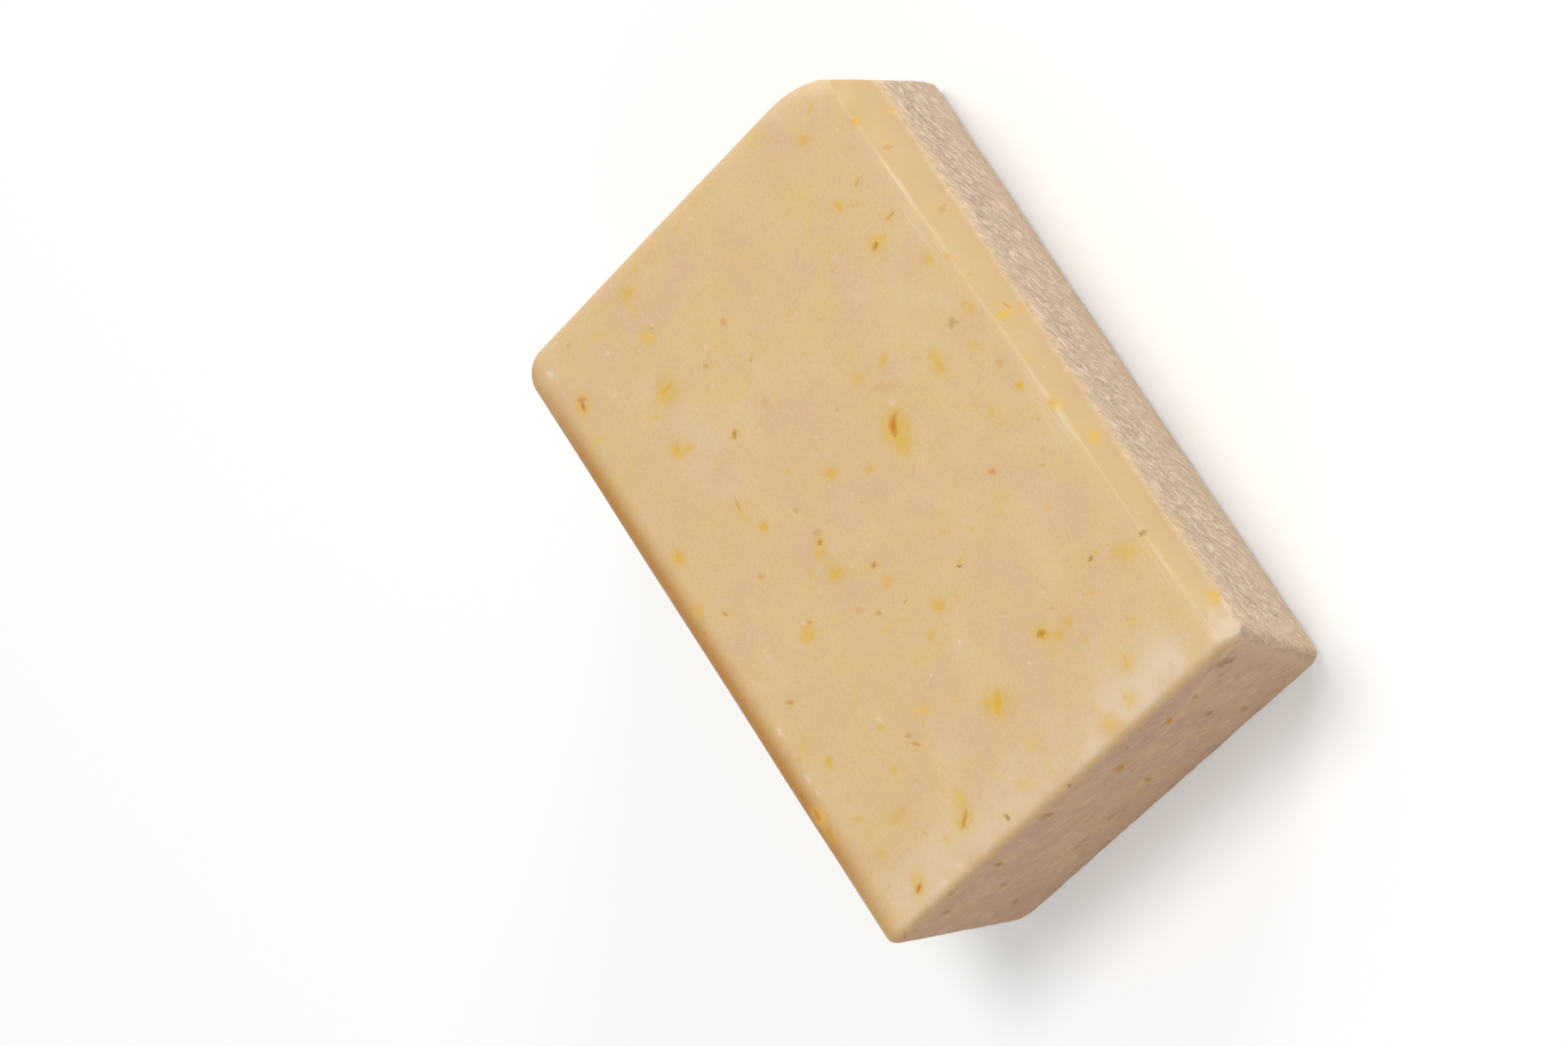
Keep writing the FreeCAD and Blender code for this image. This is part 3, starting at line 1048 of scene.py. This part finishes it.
@dataclass(frozen=True)
class SoapFinish:
    """The colours of the cut soap, as they look in plain light; some of them carry painted shade,
    painted highlights and painted glow.
    """

    shape: Shape
    cream: Colour = (219, 188, 141)
    rosy: Colour = (216, 181, 143)
    buttery: Colour = (219, 188, 130)
    milky: Colour = (223, 198, 160)
    strip: Colour = (203, 172, 121)
    brow: Colour = (200, 168, 126)
    crease_line: Colour = (226, 206, 168)
    rim: Colour = (206, 168, 108)
    # Partly the golden rim of the soap, partly painted light against the shade on the rounding.
    end_rim_and_painted_light: Colour = (214, 176, 126)
    # Partly a warmer rim of the soap, partly painted glow of light shining through the shaded edge.
    side_rim_and_painted_glow: Colour = (182, 130, 60)
    grained: Colour = (229, 202, 174)
    # Painted shade for the grained side's wrinkles and painted highlight for their ridges.
    grained_hollow_shade: Colour = (192, 158, 125)
    grained_ridge_highlight: Colour = (243, 222, 197)
    grained_warm: Colour = (216, 186, 142)
    # Partly the paler band of the soap beside the brow, partly painted light against the grained side's
    # shade there.
    grained_pale_and_painted_light: Colour = (242, 213, 176)
    streaked: Colour = (196, 158, 136)
    streaked_dark: Colour = (180, 142, 118)
    streaked_warm: Colour = (201, 166, 131)
    streaked_pale: Colour = (222, 198, 176)
    # Partly paler soap at the corner, partly painted light against the shade on the rounded edge there.
    corner: Colour = (226, 197, 160)
    end_corner: Colour = (210, 180, 146)
    faded: Colour = (218, 196, 166)
    back: Colour = (226, 206, 192)
    back_dark: Colour = (196, 164, 140)
    pale: Colour = (226, 208, 182)
    stain: Colour = (215, 178, 92)
    streak_slant: float = -38.0
    fleck_colours: tuple[tuple[float, Colour], ...] = (
        (0.0, (224, 188, 84)), (0.25, (219, 172, 44)), (0.5, (186, 130, 24)),
        (0.72, (200, 128, 10)), (1.0, (126, 80, 36)),
    )

    def material(self) -> bpy.types.Material:
        """Build the whole material.

        Returns:
            The material, which reads Object coordinates and the bar's own fleck marks.
        """
        made = bpy.data.materials.new("soap_finish")
        made.use_nodes = True
        tree = Tree(made.node_tree)
        made.node_tree.nodes.clear()
        place = tree.node("ShaderNodeTexCoord").outputs["Object"]
        masks = self.masks(tree, place)
        smooth = self.smooth_colour(tree, place, masks)
        petals = fleck_group()
        colour = self.add_flecks(tree, place, smooth, masks, petals)
        shader = tree.node("ShaderNodeBsdfPrincipled")
        tree.feed(shader.inputs["Base Color"], colour)
        tree.feed(shader.inputs["Roughness"], self.roughness(tree, masks))
        tree.feed(shader.inputs["Normal"], self.bump(tree, place, masks, petals))
        shader.inputs["IOR"].default_value = 1.45
        shader.inputs["Specular IOR Level"].default_value = 0.35
        shader.inputs["Subsurface Weight"].default_value = 0.22
        shader.inputs["Subsurface Radius"].default_value = (1.0, 0.55, 0.28)
        shader.inputs["Subsurface Scale"].default_value = 0.0022
        output = tree.node("ShaderNodeOutputMaterial")
        tree.feed(output.inputs["Surface"], shader.outputs[0])
        return made

    def masks(self, tree: Tree, place: Socket) -> dict[str, bpy.types.NodeSocket]:
        """Find which face a point lies on, from its place alone.

        Args:
            tree: the material's tree.
            place: Object coordinates.

        Returns:
            A mask or a distance for each part of the bar, by name.
        """
        beyond = beyond_group()
        found = {}
        edges = (
            ("strip", self.shape.beyond_crease(), 0.3, 0.25),
            ("grained", self.shape.beyond_brow(), 1.3, 1.6),
            ("end", self.shape.into_streaked_end(), 0.7, 0.9),
        )
        for name, (normal, offset), softness, ragged in edges:
            step = 0.28 if name == "end" else 0.0
            node = tree.group(
                beyond, place=place, normal=normal, offset=(offset - step) * MM,
                softness=softness * MM, ragged=ragged * MM,
            )
            found[name] = node.outputs["mask"]
            found[name + "_distance"] = node.outputs["distance"]
        split = tree.node("ShaderNodeSeparateXYZ")
        tree.feed(split.inputs[0], place)
        found["x"], found["y"], found["height"] = split.outputs
        normal, offset = self.shape.into_grained_side()
        found["side"] = tree.math(
            "SUBTRACT", tree.vector("DOT_PRODUCT", place, normal, output=1), offset * MM
        )
        on_side = tree.rise(found["side"], -1.9 * MM, -1.0 * MM)
        found["grained"] = tree.math("MULTIPLY", found["grained"], on_side)
        wobble = tree.math("MULTIPLY_ADD", tree.noise(place, 500, 3), 1.2 * MM, -0.6 * MM)
        low = tree.math("ADD", found["height"], wobble)
        found["back"] = tree.rise(low, 1.1 * MM, 0.4 * MM)
        return found

    def smooth_colour(self, tree: Tree, place: Socket, masks: dict) -> bpy.types.NodeSocket:
        """Colour the faces, from the smooth front to the rough back."""
        colour = self.cream_colour(tree, place)
        on_strip = tree.math("MULTIPLY", masks["strip"],
                             tree.rise(tree.noise(place, 140, 3, 0.6), 0.34, 0.62, 0.6, 1.0))
        colour = tree.mix(on_strip, colour, linear(self.strip))
        colour = self.crease_colour(tree, place, colour, masks)
        near_brow = tree.rise(masks["grained_distance"], -2.8 * MM, -0.2 * MM)
        uneven = tree.rise(tree.noise(place, 240, 4, 0.6), 0.3, 0.65, 0.5, 1.0)
        colour = tree.mix(tree.math("MULTIPLY", near_brow, uneven), colour, linear(self.brow))

        near_end = tree.rise(masks["end_distance"], -8.5 * MM, -2.0 * MM)
        corner = tree.rise(masks["y"], -4 * MM, 26 * MM, 0.4, 0.75)
        clouded = tree.rise(tree.noise(place, 150, 4, 0.6), 0.34, 0.62)
        off_strip = tree.rise(masks["strip"], 0.0, 1.0, 1.0, 0.4)
        pale_band = tree.math("MULTIPLY", tree.math("MULTIPLY", near_end, corner),
                              tree.math("MULTIPLY", clouded, off_strip))
        colour = tree.mix(pale_band, colour, linear(self.pale))
        rim = tree.rise(masks["end_distance"], -0.65 * MM, -0.1 * MM)
        rim = tree.math("MULTIPLY", rim, tree.rise(masks["strip"], 0.0, 1.0, 0.55, 0.15))
        colour = tree.mix(rim, colour, linear(self.rim))

        # Warm orange band along the -Y rim: partly a warmer rim of the soap, partly painted glow of
        # light shining through the shaded edge.
        side_rim_and_painted_glow = tree.math("MULTIPLY", tree.rise(masks["y"], -25.6 * MM, -28.6 * MM),
                             tree.rise(masks["height"], 23.5 * MM, 26.6 * MM, 0.0, 0.95))
        ends = tree.math("MULTIPLY", tree.rise(masks["x"], -41 * MM, -24 * MM, 0.4, 1.0),
                         tree.rise(masks["x"], 41 * MM, 24 * MM, 0.5, 1.0))
        side_rim_and_painted_glow = tree.math("MULTIPLY", side_rim_and_painted_glow, ends)
        colour = tree.mix(side_rim_and_painted_glow, colour, linear(self.side_rim_and_painted_glow))

        colour = tree.mix(masks["grained"], colour, self.grained_colour(tree, place, masks))
        away = tree.vector("DISTANCE", place, self.shape.brow[0] * MM, output=1)
        faded = tree.math("MULTIPLY", tree.rise(away, 5.0 * MM, 1.2 * MM), clouded)
        colour = tree.mix(tree.math("MULTIPLY", faded, 0.85), colour, linear(self.faded))
        colour = tree.mix(masks["end"], colour, self.end_colour(tree, place, masks))
        tip = tree.rise(away, 2.6 * MM, 0.7 * MM, 0.0, 0.8)
        colour = tree.mix(tip, colour, linear(self.faded))
        return tree.mix(masks["back"], colour, self.back_colour(tree, place))

    def cream_colour(self, tree: Tree, place: Socket) -> bpy.types.NodeSocket:
        """Colour the smooth faces: cream, clouded with pink, butter and milk, and finely flecked."""
        cloud = cloud_group()
        colour = linear(self.cream)
        patches = (
            (self.rosy, (0.0, 0.0, 0.0), 125.0, 0.43, 0.66, 0.7),
            (self.buttery, (0.31, 0.17, 0.05), 165.0, 0.50, 0.70, 0.8),
            (self.milky, (0.57, 0.07, 0.33), 95.0, 0.50, 0.74, 0.45),
            (self.rosy, (0.13, 0.41, 0.22), 420.0, 0.50, 0.72, 0.35),
        )
        for shade, shift, scale, low, high, share in patches:
            moved = tree.vector("ADD", place, shift)
            mask = tree.group(cloud, place=moved, scale=scale, low=low, high=high).outputs[0]
            colour = tree.mix(tree.math("MULTIPLY", mask, share), colour, linear(shade))
        specks = tree.rise(tree.noise(place, 2300, 3, 0.7), 0.35, 0.65)
        return tree.mix(tree.math("MULTIPLY", specks, 0.7), colour, (0.93, 0.91, 0.87, 1),
                        "MULTIPLY")

    def crease_colour(self, tree: Tree, place: Socket, colour: Socket,
                      masks: dict) -> bpy.types.NodeSocket:
        """Lay the faint pale line of the crease and the fine scratches that run beside it."""
        distance = masks["strip_distance"]
        line = tree.rise(tree.math("ABSOLUTE", distance), 0.24 * MM, 0.02 * MM)
        drawn = tree.stretch(place, (0, 0, 1), (9.0, 1.0, 1.0))
        gaps = tree.rise(tree.noise(drawn, 900, 3, 0.6), 0.35, 0.62, 0.05, 0.55)
        patches = tree.rise(tree.noise(place, 75, 2), 0.42, 0.6, 0.1, 1.0)
        shown = tree.math("MULTIPLY", gaps, tree.math("MULTIPLY_ADD", patches, 0.6, 0.4))
        colour = tree.mix(tree.math("MULTIPLY", line, shown), colour, linear(self.crease_line))
        beside = tree.math("MULTIPLY", tree.rise(distance, -3.4 * MM, -0.1 * MM),
                           tree.rise(distance, 0.5 * MM, 0.05 * MM))
        scratches = tree.rise(tree.noise(tree.stretch(place, (0, 0, 1), (22.0, 1.0, 1.0)), 2600, 2),
                              0.46, 0.66)
        share = tree.math("MULTIPLY", tree.math("MULTIPLY", beside, patches),
                          tree.math("MULTIPLY_ADD", scratches, 0.5, 0.2))
        return tree.mix(share, colour, linear(self.crease_line))

    def grained_colour(self, tree: Tree, place: Socket, masks: dict) -> bpy.types.NodeSocket:
        """Colour the grained side: dark in its wrinkles as painted shade, light on their ridges as
        painted highlight, warmer far down.
        """
        grain = self.grain(tree, place)
        patchy = tree.rise(tree.noise(place, 260, 3), 0.32, 0.62, 0.35, 1.0)
        fading = tree.rise(masks["grained_distance"], 3 * MM, 20 * MM, 1.0, 0.4)
        calm = tree.rise(masks["end_distance"], -1.0 * MM, -5.0 * MM, 0.25, 1.0)
        share = tree.math("MULTIPLY", tree.math("MULTIPLY", patchy, fading), calm)
        share = tree.math("MULTIPLY", share, tree.rise(masks["grained_distance"], 0.3 * MM, 2.0 * MM,
                                                       0.35, 1.0))
        # Painted shade in the wrinkles' hollows and painted highlight on their ridges, following the
        # same grain as the bump.
        hollow_shade = tree.math("MULTIPLY", tree.rise(grain, 0.50, 0.36), share)
        ridge_highlight = tree.math("MULTIPLY", tree.rise(grain, 0.52, 0.66), share)
        colour = tree.mix(hollow_shade, linear(self.grained), linear(self.grained_hollow_shade))
        colour = tree.mix(tree.math("MULTIPLY", ridge_highlight, 0.9), colour, linear(self.grained_ridge_highlight))
        warm = tree.rise(masks["grained_distance"], 13 * MM, 23 * MM)
        patches = tree.rise(tree.noise(place, 160, 2), 0.35, 0.65)
        share = tree.math("MULTIPLY", warm, tree.math("MULTIPLY_ADD", patches, 0.5, 0.15))
        colour = tree.mix(share, colour, linear(self.grained_warm))
        # Lighter towards the streaked end: partly paler soap at the corner, partly painted light that
        # lifts the shade on the rounded edge there.
        corner = tree.rise(masks["end_distance"], -4.5 * MM, -0.4 * MM)
        colour = tree.mix(tree.math("MULTIPLY", corner, 0.7), colour, linear(self.corner))
        # Paler beside the brow: partly a paler band of the soap, partly painted light that lifts the
        # grained side's shade there.
        ragged = tree.rise(masks["grained_distance"], 4.6 * MM, 0.6 * MM)
        broken = tree.rise(tree.noise(place, 260, 4, 0.6), 0.34, 0.60, 0.45, 0.9)
        return tree.mix(tree.math("MULTIPLY", ragged, broken), colour, linear(self.grained_pale_and_painted_light))

    def grain(self, tree: Tree, place: Socket) -> bpy.types.NodeSocket:
        """The grained side's fine wrinkles, low in their hollows and high on their ridges."""
        turned = tree.stretch(place, (0, -20, 0), (1.0, 1.0, 3.6))
        return tree.noise(turned, 1500, 4, 0.66, 0.8)

    def end_colour(self, tree: Tree, place: Socket, masks: dict) -> bpy.types.NodeSocket:
        """Colour the streaked end: blotches, short slanting streaks and a few pale scratches."""
        blotches = tree.rise(tree.noise(place, 150, 4, 0.6), 0.40, 0.62)
        colour = tree.mix(blotches, linear(self.streaked), linear(self.streaked_warm))
        broken = tree.rise(tree.noise(place, 300, 3), 0.34, 0.62, 0.15, 0.85)
        dark = tree.math("MULTIPLY", self.streaks(tree, place), broken)
        colour = tree.mix(dark, colour, linear(self.streaked_dark))
        turned = tree.stretch(place, (self.streak_slant, 0, 0), (5.0, 9.0, 1.0))
        fine = tree.rise(tree.noise(turned, 3000, 3, 0.6), 0.57, 0.70)
        some = tree.rise(tree.noise(place, 190, 2), 0.44, 0.62)
        pale = tree.math("MULTIPLY", tree.math("MULTIPLY", fine, some), 0.9)
        colour = tree.mix(pale, colour, linear(self.streaked_pale))
        corner = tree.rise(masks["side"], -4.2 * MM, -0.6 * MM, 0.0, 0.75)
        colour = tree.mix(corner, colour, linear(self.end_corner))
        # Golden band along the end's top edge: partly the soap's own rim, partly painted light that
        # lifts the shade on the rounding there.
        rim = tree.rise(masks["height"], 25.5 * MM, 27.3 * MM, 0.0, 0.8)
        colour = tree.mix(rim, colour, linear(self.end_rim_and_painted_light))
        tip = tree.rise(masks["y"], -8 * MM, -29 * MM, 0.0, 0.4)
        return tree.mix(tip, colour, linear(self.streaked_dark))

    def streaks(self, tree: Tree, place: Socket) -> bpy.types.NodeSocket:
        """The streaked end's short lines, which run across it at a slant."""
        turned = tree.stretch(place, (self.streak_slant, 0, 0), (5.0, 4.5, 1.0))
        return tree.rise(tree.noise(turned, 1700, 5, 0.7, 0.2), 0.42, 0.62)

    def back_colour(self, tree: Tree, place: Socket) -> bpy.types.NodeSocket:
        """Colour the rough back: pale, with short brownish scratches along the bar."""
        turned = tree.stretch(place, (0, 0, 4), (12.0, 1.2, 1.0))
        lines = tree.rise(tree.noise(turned, 900, 4, 0.7), 0.52, 0.72)
        patches = tree.rise(tree.noise(place, 110, 2), 0.42, 0.62)
        share = tree.math("MULTIPLY", lines, tree.math("MULTIPLY_ADD", patches, 0.7, 0.15))
        return tree.mix(share, linear(self.back), linear(self.back_dark))

    def add_flecks(self, tree: Tree, place: Socket, colour: Socket, masks: dict,
                   petals: bpy.types.NodeTree) -> bpy.types.NodeSocket:
        """Lay the petal flecks, their stains and the tiny pale dots over the colour."""
        marks = {}
        for name in ("fleck_place", "fleck_look", "fleck_glow"):
            marks[name] = tree.node("ShaderNodeAttribute", attribute_name=name).outputs["Vector"]
        look = tree.node("ShaderNodeSeparateXYZ")
        tree.feed(look.inputs[0], marks["fleck_look"])
        tone, strength, pale = look.outputs
        glow = tree.node("ShaderNodeSeparateXYZ")
        tree.feed(glow.inputs[0], marks["fleck_glow"])

        stain = tree.math("POWER", tree.rise(glow.outputs[0], 0.0, 0.85), 1.15)
        clouded = tree.rise(tree.noise(place, 520, 4, 0.65), 0.3, 0.68, 0.35, 1.0)
        stain = tree.math("MULTIPLY", stain, clouded)
        stain = tree.math("MULTIPLY", stain, tree.rise(masks["end"], 0.0, 1.0, 1.0, 0.3))
        colour = tree.mix(stain, colour, linear(self.stain))
        frost = tree.math("MULTIPLY", tree.rise(glow.outputs[2], 0.0, 1.0), 0.25)
        colour = tree.mix(frost, colour, linear(self.pale))

        pinpricks = pinprick_group()
        dots = tree.group(pinpricks, place=place, scale=760.0, size=0.15, share=0.25).outputs[0]
        colour = tree.mix(tree.math("MULTIPLY", dots, 0.35), colour, linear(self.pale))
        shifted = tree.vector("ADD", place, (0.11, 0.23, 0.07))
        crumbs = tree.group(pinpricks, place=shifted, scale=330.0, size=0.13, share=0.2).outputs[0]
        colour = tree.mix(tree.math("MULTIPLY", crumbs, 0.5), colour, linear((200, 152, 84)))

        ramp = tree.node("ShaderNodeValToRGB")
        tree.feed(ramp.inputs[0], tone)
        stops = ramp.color_ramp.elements
        while len(stops) < len(self.fleck_colours):
            stops.new(0.5)
        for stop, (position, shade) in zip(stops, self.fleck_colours):
            stop.position, stop.color = position, linear(shade)
        fray = tree.math("MULTIPLY_ADD", strength, -1.45, 1.75)
        fleck = tree.group(petals, place=marks["fleck_place"], fray=fray)
        grain = tree.rise(tree.noise(marks["fleck_place"], 2.6, 3), 0.3, 0.7, 0.45, 1.0)
        shown = tree.math("MULTIPLY", tree.math("POWER", strength, 0.75), grain)
        body = tree.math("MULTIPLY", fleck.outputs["body"], shown)
        solid = tree.math("MULTIPLY", fleck.outputs["heart"], tree.math("POWER", strength, 1.5))
        share = tree.math("MAXIMUM", tree.math("MULTIPLY", body, 0.95), solid, clamp=True)
        shade = tree.mix(pale, ramp.outputs[0], linear(self.pale))
        return tree.mix(share, colour, shade)

    def roughness(self, tree: Tree, masks: dict) -> bpy.types.NodeSocket:
        """Waxy on the cut faces, dull on the grained side, the streaked end and the back."""
        dull = tree.math("MAXIMUM", masks["grained"], masks["end"])
        dull = tree.math("MAXIMUM", dull, masks["back"])
        return tree.rise(dull, 0.0, 1.0, 0.5, 0.75)

    def bump(self, tree: Tree, place: Socket, masks: dict,
             petals: bpy.types.NodeTree) -> bpy.types.NodeSocket:
        """Finest relief: wrinkles, saw lines and a faint waxy unevenness."""
        waxy = tree.noise(place, 420, 3, 0.55)
        wrinkles = tree.rise(self.grain(tree, place), 0.60, 0.36)
        grain = tree.math("MULTIPLY", wrinkles, masks["grained"])
        lines = tree.math("MULTIPLY", self.streaks(tree, place), masks["end"])
        rough = tree.math("MULTIPLY", tree.noise(place, 2600, 3, 0.6),
                          tree.math("MAXIMUM", masks["grained"], masks["back"]))
        marks = tree.node("ShaderNodeAttribute", attribute_name="fleck_place").outputs["Vector"]
        look = tree.node("ShaderNodeAttribute", attribute_name="fleck_look").outputs["Vector"]
        split = tree.node("ShaderNodeSeparateXYZ")
        tree.feed(split.inputs[0], look)
        dent = tree.group(petals, place=marks, fray=0.3).outputs["dent"]
        dent = tree.math("MULTIPLY", dent, tree.math("POWER", split.outputs[1], 5.0))
        waxy = tree.math("MULTIPLY_ADD", dent, -2.2, waxy)
        height = tree.math("MULTIPLY_ADD", grain, -0.18, tree.math("MULTIPLY", waxy, 0.04))
        height = tree.math("MULTIPLY_ADD", lines, -0.05, height)
        height = tree.math("MULTIPLY_ADD", rough, 0.05, height)
        bump = tree.node("ShaderNodeBump")
        bump.inputs["Strength"].default_value = 1.0
        bump.inputs["Distance"].default_value = MM
        tree.feed(bump.inputs["Height"], height)
        return bump.outputs[0]


@dataclass(frozen=True)
class Lamp:
    """One soft lamp: where its light comes from, how strong it is and how wide."""

    name: str
    towards: Vector
    strength: float
    width: float
    distance: float = 1.2

    def build(self) -> None:
        """Make the lamp, aimed at the bar; strength is its light on a face square to it."""
        data = bpy.data.lights.new(self.name, "AREA")
        data.shape = "DISK"
        data.size = self.width
        radius = self.width / 2
        spread = self.distance ** 2 + radius ** 2
        data.energy = self.strength * math.pi * math.pi * spread
        lamp = bpy.data.objects.new(self.name, data)
        heading = self.towards.normalized()
        lamp.location = heading * self.distance
        lamp.rotation_euler = heading.to_track_quat("Z", "Y").to_euler()
        bpy.context.scene.collection.objects.link(lamp)


@dataclass(frozen=True)
class Studio:
    """The plain pale floor, the soft lamps and the white surroundings."""

    floor_size: float = 6.0
    floor_grey: float = 0.80
    floor_lift: float = 0.21
    surroundings: float = 0.45
    lamps: tuple[Lamp, ...] = (
        Lamp("key", Vector((-0.20, 0.28, 0.94)), 0.46, 0.45),
        Lamp("fill", Vector((-0.60, 0.78, 0.20)), 0.36, 0.4),
        Lamp("side", Vector((0.85, -0.20, 0.45)), 0.13, 0.9),
    )

    def build(self) -> None:
        """Set up everything around the bar."""
        self.floor()
        self.world()
        for lamp in self.lamps:
            lamp.build()
        bpy.context.scene.view_settings.view_transform = "Standard"

    @staticmethod
    def seen(tree: Tree) -> bpy.types.NodeSocket:
        """1 for a ray that the camera, a reflection or glass sends out, else 0."""
        path = tree.node("ShaderNodeLightPath").outputs
        seen = tree.math("ADD", path["Is Camera Ray"], path["Is Glossy Ray"])
        return tree.math("ADD", seen, path["Is Transmission Ray"], clamp=True)

    def floor(self) -> None:
        """Lay the floor, which looks white except in the bar's shadow."""
        mesh = bmesh.new()
        bmesh.ops.create_grid(mesh, x_segments=1, y_segments=1, size=self.floor_size / 2)
        data = bpy.data.meshes.new("floor")
        mesh.to_mesh(data)
        mesh.free()
        floor = bpy.data.objects.new("floor", data)
        bpy.context.scene.collection.objects.link(floor)
        made = bpy.data.materials.new("pale_floor")
        made.use_nodes = True
        made.node_tree.nodes.clear()
        tree = Tree(made.node_tree)
        shader = tree.node("ShaderNodeBsdfPrincipled")
        grey = self.floor_grey
        shader.inputs["Base Color"].default_value = (grey, grey, grey * 0.995, 1)
        shader.inputs["Roughness"].default_value = 1.0
        shader.inputs["Specular IOR Level"].default_value = 0.0
        shader.inputs["Emission Color"].default_value = (1, 1, 1, 1)
        lift = tree.math("MULTIPLY", self.seen(tree), self.floor_lift)
        tree.feed(shader.inputs["Emission Strength"], lift)
        output = tree.node("ShaderNodeOutputMaterial")
        tree.feed(output.inputs["Surface"], shader.outputs[0])
        data.materials.append(made)

    def world(self) -> None:
        """Surround the bar with even light, seen as plain white."""
        world = bpy.data.worlds.new("surroundings")
        bpy.context.scene.world = world
        world.use_nodes = True
        world.node_tree.nodes.clear()
        tree = Tree(world.node_tree)
        background = tree.node("ShaderNodeBackground")
        background.inputs["Color"].default_value = (1, 1, 1, 1)
        strength = tree.node("ShaderNodeMapRange")
        tree.feed(strength.inputs[0], self.seen(tree))
        tree.feed(strength.inputs[3], self.surroundings)
        tree.feed(background.inputs["Strength"], strength.outputs[0])
        output = tree.node("ShaderNodeOutputWorld")
        tree.feed(output.inputs["Surface"], background.outputs[0])


def main() -> None:
    """Build the camera, the bar and the studio."""
    logging.basicConfig(level=logging.INFO, format="%(name)s: %(message)s")
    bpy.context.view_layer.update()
    shape = Shape()
    viewpoint = Viewpoint()
    viewpoint.build()
    LOG.info("camera placed")
    piece = SoapBar(shape).build(viewpoint)
    piece.data.materials.append(SoapFinish(shape).material())
    LOG.info("bar built and dressed")
    Studio().build()
    LOG.info("studio lit")


if __name__ == "__main__":
    main()
